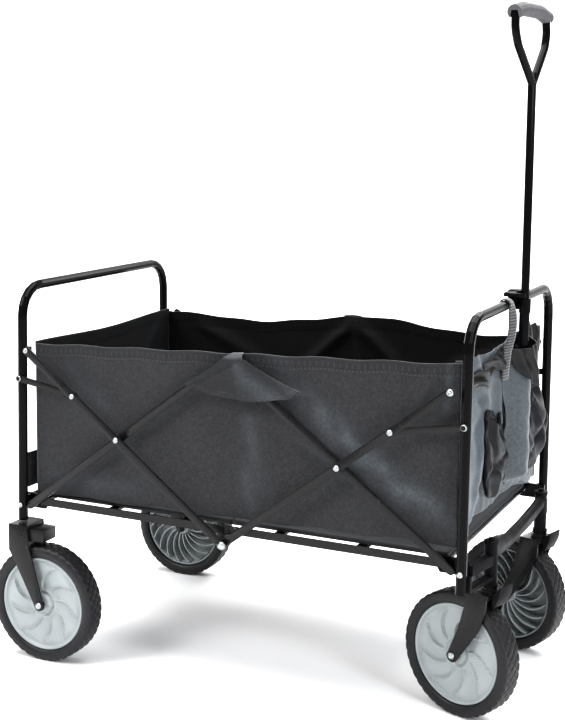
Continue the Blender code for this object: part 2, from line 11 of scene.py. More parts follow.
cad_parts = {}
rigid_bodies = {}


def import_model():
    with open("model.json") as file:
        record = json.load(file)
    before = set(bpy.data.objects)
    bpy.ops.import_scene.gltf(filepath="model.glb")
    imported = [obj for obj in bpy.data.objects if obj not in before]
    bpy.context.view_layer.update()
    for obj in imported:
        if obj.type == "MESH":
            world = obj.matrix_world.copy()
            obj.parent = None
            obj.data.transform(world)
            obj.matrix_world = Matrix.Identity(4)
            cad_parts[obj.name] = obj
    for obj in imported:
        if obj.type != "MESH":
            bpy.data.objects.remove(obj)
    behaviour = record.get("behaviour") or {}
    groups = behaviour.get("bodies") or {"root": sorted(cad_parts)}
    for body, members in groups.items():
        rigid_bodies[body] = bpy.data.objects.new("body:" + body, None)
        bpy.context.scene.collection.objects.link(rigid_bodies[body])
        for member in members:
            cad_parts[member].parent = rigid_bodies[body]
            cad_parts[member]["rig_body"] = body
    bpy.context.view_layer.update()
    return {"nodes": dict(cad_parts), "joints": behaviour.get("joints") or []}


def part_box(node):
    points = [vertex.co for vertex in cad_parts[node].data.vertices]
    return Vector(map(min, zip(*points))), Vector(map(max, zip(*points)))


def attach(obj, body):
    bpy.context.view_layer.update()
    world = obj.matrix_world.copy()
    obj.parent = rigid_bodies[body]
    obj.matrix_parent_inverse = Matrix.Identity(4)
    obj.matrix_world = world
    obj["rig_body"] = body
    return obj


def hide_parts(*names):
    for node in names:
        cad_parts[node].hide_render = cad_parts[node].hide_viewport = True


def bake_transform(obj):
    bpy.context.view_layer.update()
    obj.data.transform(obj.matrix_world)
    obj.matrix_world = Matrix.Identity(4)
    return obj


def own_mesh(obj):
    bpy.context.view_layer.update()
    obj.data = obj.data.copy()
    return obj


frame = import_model()
nodes = frame["nodes"]
joints = {joint["name"]: joint for joint in frame["joints"]}
SIDES = (("right", -1), ("left", 1))


# ======== camera
VIEW_FROM = Vector((0.893, -1.9512, 0.873))
YAW, PITCH, ROLL = 0.4379, 0.1236, 0.0103
camera_data = bpy.data.cameras.new("camera")
camera = bpy.data.objects.new("camera", camera_data)
bpy.context.scene.collection.objects.link(camera)
ahead = Vector((-math.sin(YAW) * math.cos(PITCH), math.cos(YAW) * math.cos(PITCH), -math.sin(PITCH)))
level = ahead.cross(Vector((0, 0, 1))).normalized()
above = level.cross(ahead)
right = level * math.cos(ROLL) + above * math.sin(ROLL)
up = above * math.cos(ROLL) - level * math.sin(ROLL)
camera.matrix_world = Matrix.Translation(VIEW_FROM) @ Matrix((right, up, -ahead)).transposed().to_4x4()
camera_data.lens = 66.7
camera_data.shift_x = 0.0038
camera_data.shift_y = -0.1068
camera_data.clip_end = 60
bpy.context.scene.camera = camera


# ======== materials
class Look:
    """A Principled material, with short calls for the nodes that vary it."""

    def __init__(self, name, rough=0.5, metal=0.0, **sockets):
        self.material = bpy.data.materials.new(name)
        self.material.use_nodes = True
        self.tree = self.material.node_tree
        self.shader = self.tree.nodes["Principled BSDF"]
        self.put(self.shader, Roughness=rough, Metallic=metal, **sockets)
        self.place = self.node("TexCoord").outputs["Object"]

    def put(self, node, **inputs):
        """Sets or links a node's inputs, by name or, as _0 and _1, by number."""
        for key, value in inputs.items():
            numbered = key[0] == "_" and key[1:].isdigit()
            socket = node.inputs[int(key[1:]) if numbered else key.replace("_", " ")]
            if isinstance(value, bpy.types.NodeSocket):
                self.tree.links.new(value, socket)
            else:
                socket.default_value = value
        return node

    def node(self, kind, props=None, **inputs):
        made = self.tree.nodes.new("ShaderNode" + kind)
        for key, value in (props or {}).items():
            setattr(made, key, value)
        return self.put(made, **inputs)

    def math(self, operation, a, b=0.0):
        return self.node("Math", {"operation": operation}, _0=a, _1=b).outputs[0]

    def noise(self, scale, detail=3.0, rough=0.5, stretch=None):
        place = self.place
        if stretch:
            place = self.node("Mapping", None, Vector=place, Scale=stretch).outputs[0]
        made = self.node("TexNoise", None, Vector=place, Scale=scale, Detail=detail, Roughness=rough)
        return made.outputs[0]

    def attribute(self, name):
        return self.node("Attribute", {"attribute_name": name}).outputs["Fac"]

    def spread(self, value, low, high, start=0.0, end=1.0):
        """Maps start..end to low..high, held at both ends."""
        made = self.node("MapRange", {"clamp": True}, Value=value, From_Min=start, From_Max=end,
                         To_Min=low, To_Max=high)
        return made.outputs[0]

    def mix(self, share, a, b):
        made = self.node("Mix", {"data_type": "RGBA"})
        for index, value in ((0, share), (6, a), (7, b)):
            if isinstance(value, bpy.types.NodeSocket):
                self.tree.links.new(value, made.inputs[index])
            else:
                made.inputs[index].default_value = value if index == 0 else (*value, 1.0)
        return made.outputs[2]

    def dashes(self, run, pitch, share):
        """1 on the first share of each pitch along run, and 0 on the rest."""
        return self.math("LESS_THAN", self.math("FRACT", self.math("DIVIDE", run, pitch)), share)

    def row(self, across, centre, half):
        """1 within half of centre, and 0 outside."""
        return self.math("LESS_THAN", self.math("ABSOLUTE", self.math("SUBTRACT", across, centre)), half)

    def bump(self, height, distance, strength=1.0, onto=None):
        made = self.node("Bump", None, Height=height, Distance=distance, Strength=strength)
        if onto:
            self.tree.links.new(onto, made.inputs["Normal"])
        return made.outputs[0]

    def done(self, colour=None, rough=None, normal=None):
        for key, value in (("Base Color", colour), ("Roughness", rough), ("Normal", normal)):
            if isinstance(value, bpy.types.NodeSocket):
                self.tree.links.new(value, self.shader.inputs[key])
            elif value is not None:
                self.shader.inputs[key].default_value = (*value, 1.0) if key == "Base Color" else value
        return self.material


def shade(colour, factor):
    return tuple(c * factor for c in colour)


SCUFFED = (0.16, 0.16, 0.16)
# painted sheen: the tone mixed into taut cloth where the light would catch it
PAINTED_SHEEN_TONE = (0.085, 0.098, 0.108)
# width of the rolled hem along the basket's top
HEM_WIDTH = 0.0185
THREAD_PITCH = 0.0011


def paint(name, colour, rough, coat, scuff, gleam):
    """Powder coat: a fine pebble, cloudy gloss, and pale scuffs where things rub."""
    look = Look(name, Coat_Weight=coat, Coat_Roughness=0.12, Specular_IOR_Level=gleam)
    cloud = look.noise(38, 3)
    scratch = look.spread(look.noise(240, 5, 0.7, (1, 1, 0.25)), 0, 1, 0.64, 0.74)
    tone = look.mix(look.math("MULTIPLY", scratch, scuff), colour, SCUFFED)
    tone = look.mix(look.spread(cloud, 0, 0.5), tone, shade(colour, 1.6))
    gloss = look.spread(cloud, rough * 0.8, rough * 1.25, 0.3, 0.7)
    return look.done(tone, gloss, look.bump(look.noise(2300, 1), 0.00008, 0.35))


def weave(name, colour, across="X", sheen=0.28, rough=0.78, hem="", mottle=0.35, gleam=0.22):
    """Oxford cloth: crossing threads, slightly uneven dye, a soft sheen, and painted sheen mixed in from a
    per-point attribute.

    hem is "rolled" for a stitched top hem, "skirt" for a cap's open edge, "flat" for cloth that lies level.
    """
    look = Look(name, Sheen_Weight=sheen, Sheen_Roughness=0.42, Specular_IOR_Level=gleam)
    look.shader.inputs["Sheen Tint"].default_value = (0.80, 0.86, 0.92, 1)
    axes = look.node("SeparateXYZ", None, Vector=look.place).outputs
    turn = math.tau / THREAD_PITCH
    warp = look.math("SINE", look.math("MULTIPLY", axes["XYZ".index(across)], turn))
    weft = look.math("SINE", look.math("MULTIPLY", axes[1 if across != "Y" and hem == "flat" else 2], turn))
    thread = look.math("MULTIPLY", warp, weft)
    patch = look.noise(16, 5, 0.62)
    slub = look.noise(420, 2, 0.6)
    tone = look.mix(look.spread(patch, 0, 1, 0.3, 0.72), shade(colour, 1 - mottle), shade(colour, 1 + mottle))
    # painted sheen: a per-point attribute mixes in a lighter tone where light would catch the cloth
    tone = look.mix(look.attribute("shine"), tone, PAINTED_SHEEN_TONE)
    tone = look.mix(look.spread(slub, 0, 0.50, 0.40, 0.75), tone, shade(colour, 2.6))
    tone = look.mix(look.spread(look.noise(190, 3, 0.7), 0, 0.55, 0.35, 0.75), tone, shade(colour, 0.35))
    tone = look.mix(look.spread(thread, 0, 0.38, -1, 1), tone, shade(colour, 0.30))
    height = look.math("ADD", look.math("MULTIPLY", thread, 0.5), look.math("MULTIPLY", slub, 1.1))
    normal = look.bump(height, 0.00022, 0.55)
    if hem == "skirt":
        edge, run = look.attribute("from_edge"), look.attribute("along")
        tack = look.math("MULTIPLY", look.dashes(run, 0.0085, 0.28), look.row(edge, 0.0052, 0.0022))
        tone = look.mix(look.math("MULTIPLY", tack, 0.3), tone, shade(colour, 2.2))
        normal = look.bump(look.math("LESS_THAN", edge, 0.0085), 0.0010, 0.8, normal)
    if hem == "rolled":
        edge, run = look.attribute("from_edge"), look.attribute("along")
        stitch = look.math("MULTIPLY", look.dashes(run, 0.0062, 0.60), look.row(edge, 0.0165, 0.00075))
        tack = look.math("MULTIPLY", look.dashes(run, 0.0094, 0.22), look.row(edge, 0.0095, 0.0034))
        band = look.math("LESS_THAN", edge, HEM_WIDTH)
        tone = look.mix(look.math("MULTIPLY", band, 0.5), tone, shade(colour, 0.5))
        tone = look.mix(look.math("MULTIPLY", tack, 0.4), tone, shade(colour, 1.9))
        tone = look.mix(look.math("MULTIPLY", stitch, 0.45), tone, shade(colour, 2.4))
        normal = look.bump(stitch, 0.0006, 0.8, normal)
        normal = look.bump(band, 0.0012, 0.8, normal)
    return look.done(tone, look.spread(patch, rough * 0.86, rough * 1.1, 0.3, 0.7), normal)


def moulded(name, colour, rough, grain=900, milky=0.0, bump=0.00006, gleam=0.45):
    """Moulded plastic, rubber or foam: a fine grain, cloudy gloss and a little dust."""
    look = Look(name, Subsurface_Weight=milky, Specular_IOR_Level=gleam)
    look.shader.inputs["Subsurface Scale"].default_value = 0.004
    cloud = look.noise(30, 4)
    dust = look.spread(look.noise(160, 6, 0.7), 0, 0.22, 0.5, 0.8)
    tone = look.mix(look.spread(cloud, 0, 1, 0.3, 0.7), shade(colour, 0.93), shade(colour, 1.05))
    tone = look.mix(dust, tone, shade(colour, 0.72))
    gloss = look.spread(cloud, rough * 0.85, rough * 1.2, 0.3, 0.7)
    return look.done(tone, gloss, look.bump(look.noise(grain, 2), bump, 0.5))


SHELL = (0.0225, 0.0225, 0.0248)
# painted sheen: the front's dark charcoal cloth given the grey-blue it shows where light catches it
GREY_BLUE_PAINTED_SHEEN = (0.052, 0.064, 0.073)
GLOSS = paint("gloss_black_tube", (0.0030, 0.0030, 0.0034), 0.15, 0.04, 0.08, 0.06)
SATIN = paint("satin_black_bar", (0.0060, 0.0060, 0.0065), 0.30, 0.04, 0.30, 0.20)
# the outer cloth, its inside darkened with painted shade, and the cloth of each smaller piece
WALL = weave("oxford_side", SHELL, "X", hem="rolled")
# painted shade: a darker copy of the side cloth for the faces inside the basket
INNER_PAINTED_SHADE = weave("oxford_inner_painted_shade", shade(SHELL, 0.22), "X", hem="rolled", sheen=0.05, gleam=0.10)
WALL_END = weave("oxford_end", shade(SHELL, 0.6), "Y", hem="rolled", sheen=0.15)
# painted sheen: the front cloth takes its lit grey-blue tone
WALL_FRONT_PAINTED_SHEEN = weave("oxford_front_painted_sheen", GREY_BLUE_PAINTED_SHEEN, "Y", sheen=0.35, rough=0.52, mottle=0.5, gleam=0.30)
# painted shade: a darker copy of the side cloth, for the flap hanging in shade over the hinge
WALL_FLAP_PAINTED_SHADE = weave("oxford_flap_painted_shade", shade(SHELL, 0.72), "X", hem="skirt")
# painted shade: a far darker copy of the side cloth for rolled and bunched cloth
HOOD_PAINTED_SHADE = weave("oxford_hood_painted_shade", shade(SHELL, 0.16), "Y", sheen=0.04, rough=0.34, gleam=0.26)
LINING = weave("lining_dark", (0.0050, 0.0052, 0.0066), "Y", sheen=0.06, rough=0.42, mottle=0.5, gleam=0.20)
FLOOR_CLOTH = weave("floor_cloth", (0.020, 0.020, 0.022), "X", hem="flat", sheen=0.2)
PLASTIC = moulded("black_plastic", (0.005, 0.005, 0.006), 0.50, gleam=0.07)
HUB = moulded("grey_hub_plastic", (0.275, 0.300, 0.306), 0.40, milky=0.04)
RUBBER = moulded("black_rubber", (0.0085, 0.0085, 0.0095), 0.46, grain=1500, bump=0.00018, gleam=0.30)
FOAM = moulded("grip_foam", (0.062, 0.061, 0.066), 0.62, grain=1900, bump=0.0005)


def zinc():
    look = Look("zinc_plate", rough=0.26, metal=1.0)
    tone = look.mix(look.spread(look.noise(300, 3), 0, 1), (0.27, 0.29, 0.29), (0.47, 0.50, 0.49))
    gloss = look.spread(look.noise(700, 2), 0.26, 0.46)
    return look.done(tone, gloss, look.bump(look.noise(900, 2), 0.00005, 0.4))


def ribbed_webbing():
    look = Look("ribbed_webbing", rough=0.7, Sheen_Weight=0.4, Specular_IOR_Level=0.3)
    rib = look.math("SINE", look.math("MULTIPLY", look.attribute("along"), math.tau / 0.0044))
    tone = look.mix(look.spread(rib, 0, 1, -0.6, 0.8), (0.016, 0.017, 0.019), (0.075, 0.080, 0.085))
    return look.done(tone, 0.7, look.bump(rib, 0.0005, 0.9))


ZINC = zinc()
WEBBING = ribbed_webbing()

# the first word found in a CAD node's name gives its look
BY_NAME = (
    ("handle_clip", PLASTIC), ("handle_grip", FOAM), ("handle", GLOSS), ("u_frame", GLOSS),
    ("cross_member", PLASTIC), ("brake", PLASTIC), ("tyre", RUBBER), ("hub", HUB), ("", SATIN),
)
for name, node in nodes.items():
    found = next(look for word, look in BY_NAME if word in name)
    node.data.materials.clear()
    node.data.materials.append(found)


# ======== mesh building
def add(name, points, faces, look, **attributes):
    """A smooth-shaded mesh with one look, and a value at each point for each attribute."""
    mesh = bpy.data.meshes.new(name)
    mesh.from_pydata([tuple(p) for p in points], [], faces)
    mesh.update()
    for key, values in attributes.items():
        mesh.attributes.new(key, "FLOAT", "POINT").data.foreach_set("value", np.asarray(values, np.float32))
    mesh.materials.append(look)
    mesh.polygons.foreach_set("use_smooth", [True] * len(mesh.polygons))
    made = bpy.data.objects.new(name, mesh)
    bpy.context.scene.collection.objects.link(made)
    return made


def grid_faces(rows, columns, wrap=False, start=0, flip=False):
    """Quads over points laid out row by row, numbered from start."""
    faces = []
    for i in range(rows - 1):
        for j in range(columns if wrap else columns - 1):
            k = (j + 1) % columns
            quad = (start + i * columns + j, start + i * columns + k,
                    start + (i + 1) * columns + k, start + (i + 1) * columns + j)
            faces.append(quad[::-1] if flip else quad)
    return faces


def cloth(name, surface, nu, nv, thick, look, top_edge=True, shine=None):
    """A closed sheet round a middle surface: surface(u, v) takes arrays from 0 to 1 and gives x, y, z.

    Each point carries its distance along the sheet and from the top (or lower) edge, for the hem, and how
    much painted sheen it takes.
    """
    u, v = np.meshgrid(np.linspace(0, 1, nu), np.linspace(0, 1, nv))
    middle = np.stack(np.broadcast_arrays(*surface(u, v)), axis=-1).astype(float)
    du, dv = np.gradient(middle, axis=1), np.gradient(middle, axis=0)
    normal = np.cross(du, dv)
    normal /= np.linalg.norm(normal, axis=-1, keepdims=True) + 1e-12
    along = np.cumsum(np.linalg.norm(np.diff(middle, axis=1, prepend=middle[:, :1]), axis=-1), axis=1)
    climb = np.cumsum(np.linalg.norm(np.diff(middle, axis=0, prepend=middle[:1]), axis=-1), axis=0)
    from_edge = climb[-1:] - climb if top_edge else climb
    half = np.asarray(thick(from_edge) if callable(thick) else thick)[..., None] / 2
    points = np.concatenate([(middle + normal * sign * half).reshape(-1, 3) for sign in (1, -1)])
    faces = grid_faces(nv, nu) + grid_faces(nv, nu, start=nu * nv, flip=True)
    rim = list(range(nu)) + [i * nu + nu - 1 for i in range(1, nv)]
    rim += [(nv - 1) * nu + j for j in range(nu - 2, -1, -1)] + [i * nu for i in range(nv - 2, 0, -1)]
    for a, b in zip(rim, rim[1:] + rim[:1]):
        faces.append((b, a, a + nu * nv, b + nu * nv))
    # painted sheen for each point, kept as an attribute
    gloss = np.broadcast_to(shine(u, v) if shine else 0.0, u.shape)
    made = add(name, points, faces, look, along=np.tile(along.ravel(), 2),
               from_edge=np.tile(from_edge.ravel(), 2), shine=np.tile(gloss.ravel(), 2))
    cell = np.linalg.norm(np.cross(du[:-1, :-1], dv[:-1, :-1]), axis=-1)
    made["flat"] = (float(along[:, -1].max()), float(climb[-1].max()))
    made["area"] = float(cell.sum())
    return made


def lined(piece, out, inside):
    """The faces that look away from out take the inside cloth."""
    piece.data.materials.append(inside)
    for polygon in piece.data.polygons:
        polygon.material_index = int(polygon.normal.dot(Vector(out)) < -0.2)


def ripple(a, b, seed, size, waves=9, low=14, high=70):
    """Smooth random undulation over two coordinates in metres."""
    rng = np.random.default_rng(seed)
    total = 0
    for _ in range(waves):
        k, turn, shift = rng.uniform(low, high), rng.uniform(0, math.pi), rng.uniform(0, math.tau)
        total = total + np.cos(k * (a * math.cos(turn) + b * math.sin(turn)) + shift) * (low / k) ** 0.6
    return total * size / math.sqrt(waves)


def fold(a, b, start, end, width, height):
    """A soft ridge along a line, fading at both ends."""
    (a0, b0), (a1, b1) = start, end
    length = math.hypot(a1 - a0, b1 - b0)
    t = ((a - a0) * (a1 - a0) + (b - b0) * (b1 - b0)) / length ** 2
    aside = ((a - a0) * (b1 - b0) - (b - b0) * (a1 - a0)) / length
    fade = np.clip(t * 5 + 0.5, 0, 1) * np.clip((1 - t) * 3 + 0.3, 0, 1)
    return height * fade * np.exp(-((aside / width) ** 2))


def folds(a, b, ridges):
    """Several ridges and grooves, each (start, end, width, height)."""
    return sum(fold(a, b, *ridge) for ridge in ridges)


def lathe(name, profile, look, steps, axis="Y", bend=None):
    """A closed ring turned from a loop of (radius, height); bend(radius, height, angle) may move points."""
    loop = np.array(profile, float)
    angle = np.linspace(0, math.tau, steps, endpoint=False)
    r = np.repeat(loop[None, :, 0], steps, 0)
    h = np.repeat(loop[None, :, 1], steps, 0)
    a = np.repeat(angle[:, None], len(loop), 1)
    if bend:
        r, h = bend(r, h, a)
    if axis == "Y":
        points = np.stack([r * np.cos(a), h, r * np.sin(a)], -1)
    else:
        points = np.stack([r * np.cos(a), r * np.sin(a), h], -1)
    count = len(loop)
    faces = []
    for i in range(steps):
        j = (i + 1) % steps
        for k in range(count):
            m = (k + 1) % count
            faces.append((i * count + k, i * count + m, j * count + m, j * count + k))
    return add(name, points.reshape(-1, 3), faces, look)


def outward(obj):
    """Turns every face outwards."""
    bm = bmesh.new()
    bm.from_mesh(obj.data)
    bmesh.ops.recalc_face_normals(bm, faces=bm.faces[:])
    bm.to_mesh(obj.data)
    bm.free()
    return obj


def sharpen(obj, degrees=38):
    """Smooth shading that keeps edges sharper than this."""
    mesh = obj.data
    mesh.polygons.foreach_set("use_smooth", [True] * len(mesh.polygons))
    limit = math.cos(math.radians(degrees))
    normals = [p.normal.copy() for p in mesh.polygons]
    seen = {}
    for p in mesh.polygons:
        for key in p.edge_keys:
            seen.setdefault(key, []).append(p.index)
    marks = []
    for edge in mesh.edges:
        beside = seen[edge.key]
        marks.append(len(beside) != 2 or normals[beside[0]].dot(normals[beside[1]]) < limit)
    flags = mesh.attributes.get("sharp_edge") or mesh.attributes.new("sharp_edge", "BOOLEAN", "EDGE")
    flags.data.foreach_set("value", marks)


def refined(name, width=0.0006, degrees=32):
    """A CAD part with its small edges rounded over, for the highlights they catch."""
    source = nodes[name]
    mesh = source.data.copy()
    bm = bmesh.new()
    bm.from_mesh(mesh)
    bmesh.ops.remove_doubles(bm, verts=bm.verts[:], dist=2e-5)
    bmesh.ops.dissolve_limit(bm, angle_limit=math.radians(1.5), verts=bm.verts[:], edges=bm.edges[:])
    bm.to_mesh(mesh)
    bm.free()
    made = bpy.data.objects.new(name + "_finish", mesh)
    bpy.context.scene.collection.objects.link(made)
    bevel = made.modifiers.new("edges", "BEVEL")
    bevel.width, bevel.segments, bevel.limit_method = width, 2, "ANGLE"
    bevel.angle_limit = math.radians(degrees)
    bevel.use_clamp_overlap = True
    graph = bpy.context.evaluated_depsgraph_get()
    made.data = bpy.data.meshes.new_from_object(made.evaluated_get(graph))
    made.modifiers.clear()
    sharpen(made, 40)
    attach(made, source["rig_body"])
    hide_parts(name)


for name in nodes:
    if name.startswith(("bar_", "link_", "rear_fork", "caster_", "brake_", "handle_clip")):
        refined(name)


# ======== basket
side_low, side_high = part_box("side_wall_right")
front_low, front_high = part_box("front_wall")
rear_low, rear_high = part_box("rear_wall")
WALL_Y = (abs(side_low.y) + abs(side_high.y)) / 2
REAR_X, FRONT_X = side_low.x, side_high.x
REAR_TOP, FRONT_TOP = rear_high.z, side_high.z
BOTTOM = side_low.z
SPAN = FRONT_X - REAR_X


def hem_thick(from_edge):
    """Three layers in the rolled hem, one below it."""
    return np.where(from_edge < HEM_WIDTH, 0.0030, 0.0014)


# tension folds from the corners and the top hinge: (x, z) to (x, z), width, height
NEAR_FOLDS = (
    ((0.070, 0.450), (0.285, 0.315), 0.026, 0.0060),
    ((0.110, 0.400), (0.300, 0.300), 0.014, -0.0035),
    ((0.060, 0.440), (0.075, 0.300), 0.022, 0.0040),
    ((-0.335, 0.500), (-0.190, 0.385), 0.018, -0.0030),
    ((-0.300, 0.300), (-0.120, 0.300), 0.020, 0.0028),
    ((0.330, 0.530), (0.292, 0.470), 0.010, 0.0042),
    ((0.315, 0.535), (0.275, 0.500), 0.007, -0.0030),
)
FAR_FOLDS = (
    ((0.030, 0.520), (-0.085, 0.410), 0.011, -0.0120),
    ((0.030, 0.520), (0.125, 0.430), 0.012, -0.0100),
    ((0.030, 0.522), (0.045, 0.380), 0.010, -0.0090),
    ((-0.300, 0.500), (-0.150, 0.430), 0.014, -0.0070),
    ((0.320, 0.500), (0.190, 0.440), 0.012, -0.0080),
)


def side_bulge(x, z, side):
    """How far the side stands out from its flat place."""
    return ripple(x, z, 11 + side, 0.0016) + folds(x, z, NEAR_FOLDS if side < 0 else FAR_FOLDS)


def hem_line(x, side):
    """Height of the top edge: straight on the near side, sagging either side of the hinge on the far side."""
    share = (x - REAR_X) / SPAN
    line = REAR_TOP - 0.001 + (FRONT_TOP - REAR_TOP) * share
    if side > 0:
        line = REAR_TOP - 0.002 + 0.018 * np.exp(-(((x - 0.065) / 0.115) ** 2))
        line = line - 0.006 * np.exp(-(((x + 0.17) / 0.08) ** 2))
        line = line + 0.006 * np.clip((share - 0.85) / 0.15, 0, 1)
    return line + 0.0011 * np.sin(x * 61 + side)


def side_surface(side):
    def surface(u, v):
        x = REAR_X + 0.0015 + (SPAN + 0.0010) * u
        low = BOTTOM - 0.001 + 0.013 * u ** 1.4 + 0.0015 * np.sin(x * 47 + 1)
        z = low + (hem_line(x, side) - low) * v
        # the panel is pinned at its edges and free in the middle
        free = np.clip(np.sin(math.pi * u) * 3, 0, 1)
        free = free * np.clip(np.sin(math.pi * np.clip(v, 0.0, 0.94)) * 2.6, 0.12, 1)
        y = side * (WALL_Y + side_bulge(x, z, side) * free)
        return x, y, z
    return surface


# painted sheen where the near side catches the light: (x, z) to (x, z), width, strength
SIDE_PAINTED_SHEEN_LINES = (
    ((0.135, 0.455), (0.370, 0.292), 0.015, 0.80),
    ((0.150, 0.400), (0.300, 0.330), 0.034, 0.20),
    ((0.028, 0.430), (0.036, 0.285), 0.016, 0.42),
    ((0.060, 0.545), (0.150, 0.440), 0.016, 0.34),
    ((0.336, 0.545), (0.337, 0.470), 0.006, 0.70),
    ((-0.320, 0.300), (-0.150, 0.292), 0.016, 0.22),
    ((-0.300, 0.480), (-0.210, 0.415), 0.014, 0.16),
)


def near_shine(u, v):
    """Painted sheen: streaks along taut cloth, broken up at random."""
    x, _, z = side_surface(-1)(u, v)
    x, z = x + ripple(x, z, 52, 0.004, 6, 20, 60), z + ripple(x, z, 53, 0.004, 6, 20, 60)
    return np.clip(folds(x, z, SIDE_PAINTED_SHEEN_LINES) * (0.75 + ripple(x, z, 54, 0.5, 8, 60, 220)), 0, 1)


for name, side in SIDES:
    piece = cloth(f"side_{name}", side_surface(side), 220, 90, hem_thick, WALL,
                  shine=near_shine if side < 0 else None)
    if side > 0:
        outward(piece)
    lined(piece, (0, side, 0), INNER_PAINTED_SHADE)
    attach(piece, "rear_frame")
    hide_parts(f"side_wall_{name}")
    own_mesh(piece)


def rear_surface(u, v):
    y = -WALL_Y - 0.0004 + (2 * WALL_Y + 0.0008) * u
    z = BOTTOM + 0.001 + (REAR_TOP - 0.0015 - BOTTOM + 0.003 * np.cos(u * math.tau)) * v
    free = np.sin(math.pi * u) * np.clip(np.sin(math.pi * np.clip(v, 0, 0.93)) * 2, 0.05, 1)
    lean = fold(y, z, (-0.16, 0.50), (0.02, 0.40), 0.014, 0.006)
    lean = lean + fold(y, z, (0.17, 0.50), (0.05, 0.40), 0.012, 0.006)
    return (rear_low.x + rear_high.x) / 2 + (ripple(y, z, 5, 0.0018) + lean) * free, y, z


rear = cloth("rear_side", rear_surface, 100, 66, hem_thick, WALL_END)
lined(rear, (-1, 0, 0), INNER_PAINTED_SHADE)
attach(rear, "rear_frame")
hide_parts("rear_wall")

panel_low, panel_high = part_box("rear_panel")


def panel_surface(u, v):
    y = panel_low.y + (panel_high.y - panel_low.y) * u
    z = panel_low.z + (panel_high.z - panel_low.z) * v - 0.003 * np.sin(math.pi * u) * v
    return (panel_low.x + panel_high.x) / 2 + ripple(y, z, 23, 0.0012), y, z


panel = cloth("rear_apron", panel_surface, 90, 16, 0.0016, WALL_END)
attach(panel, "rear_frame")
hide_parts("rear_panel")


# ---- front of the basket: loose, crumpled cloth, lightened with painted sheen
def front_top(y):
    """The limp top edge: low by each leg, highest beside the handle."""
    drawn = np.interp(y, (-0.20, -0.14, -0.07, 0.02, 0.09, 0.14, 0.20),
                      (0.544, 0.540, 0.538, 0.547, 0.552, 0.545, 0.536))
    return drawn + 0.0016 * np.sin(y * 70)


def front_foot(y):
    """The loose bottom edge, drawn up between the near leg and the handle."""
    drawn = np.interp(y, (-0.20, -0.16, -0.07, 0.05, 0.15, 0.20),
                      (0.286, 0.303, 0.304, 0.300, 0.290, 0.284))
    return drawn + 0.0030 * np.sin(y * 31)


# the cloth runs past its panel and turns back to meet the sides
FRONT_HALF = (front_high.y - front_low.y) / 2 + 0.0100

# creases of the front's cloth: (y, z) to (y, z), width, height
FRONT_FOLDS = (
    ((-0.165, 0.545), (-0.085, 0.440), 0.012, 0.0085),
    ((-0.190, 0.520), (-0.110, 0.460), 0.008, -0.0050),
    ((-0.120, 0.440), (-0.165, 0.310), 0.012, 0.0075),
    ((-0.060, 0.530), (-0.030, 0.400), 0.009, 0.0070),
    ((0.050, 0.545), (0.140, 0.460), 0.013, 0.0080),
    ((0.190, 0.520), (0.060, 0.470), 0.010, -0.0050),
    ((-0.060, 0.345), (0.160, 0.290), 0.010, 0.0070),
    ((-0.150, 0.350), (0.010, 0.300), 0.007, -0.0045),
)
# and the painted sheen along them, raised or lowered
FRONT_PAINTED_SHEEN_LINES = (
    ((-0.165, 0.540), (-0.165, 0.300), 0.020, 0.55),
    ((-0.075, 0.500), (-0.060, 0.380), 0.022, 0.50),
    ((0.060, 0.510), (0.100, 0.440), 0.022, 0.35),
    ((-0.020, 0.480), (0.000, 0.380), 0.014, 0.30),
    ((-0.185, 0.500), (-0.095, 0.440), 0.010, -0.75),
    ((0.000, 0.340), (0.170, 0.300), 0.020, -0.70),
    ((-0.150, 0.330), (-0.080, 0.290), 0.010, -0.60),
    ((-0.205, 0.525), (-0.110, 0.545), 0.016, -0.90),
)


def front_surface(u, v):
    y = -FRONT_HALF + 2 * FRONT_HALF * u
    low = front_foot(y)
    z = low + (front_top(y) - low) * v
    free = np.clip(np.sin(math.pi * u) * 5, 0.0, 1)
    out = ripple(y, z, 31, 0.0030, 14, 22, 110) + ripple(y, z, 32, 0.0012, 10, 90, 240)
    out = np.clip(out + folds(y, z, FRONT_FOLDS), -0.0035, 0.0085)
    wrap = np.clip((np.abs(y) - (FRONT_HALF - 0.014)) / 0.014, 0, 1) ** 2
    return (front_low.x + front_high.x) / 2 + out * free - 0.0130 * wrap, y, z


def front_face(y, z):
    """How far forward the front side's cloth is at a spot."""
    low = front_foot(y)
    return front_surface((y + FRONT_HALF) / (2 * FRONT_HALF), (z - low) / (front_top(y) - low))[0]


def front_shine(y, z):
    """Painted sheen: broad pale patches between dark folds, as on thin coated cloth in side light."""
    return np.clip(0.10 + ripple(y, z, 61, 0.42, 10, 18, 70) + folds(y, z, FRONT_PAINTED_SHEEN_LINES), 0, 0.95)


# painted sheen of the front at each point of its sheet
def front_painted_sheen_uv(u, v):
    _, y, z = front_surface(u, v)
    return front_shine(y, z)


front = cloth("front_side", front_surface, 150, 110, 0.0013, WALL_FRONT_PAINTED_SHEEN, shine=front_painted_sheen_uv)
lined(front, (1, 0, 0), INNER_PAINTED_SHADE)
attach(front, "front_frame")
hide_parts("front_wall")


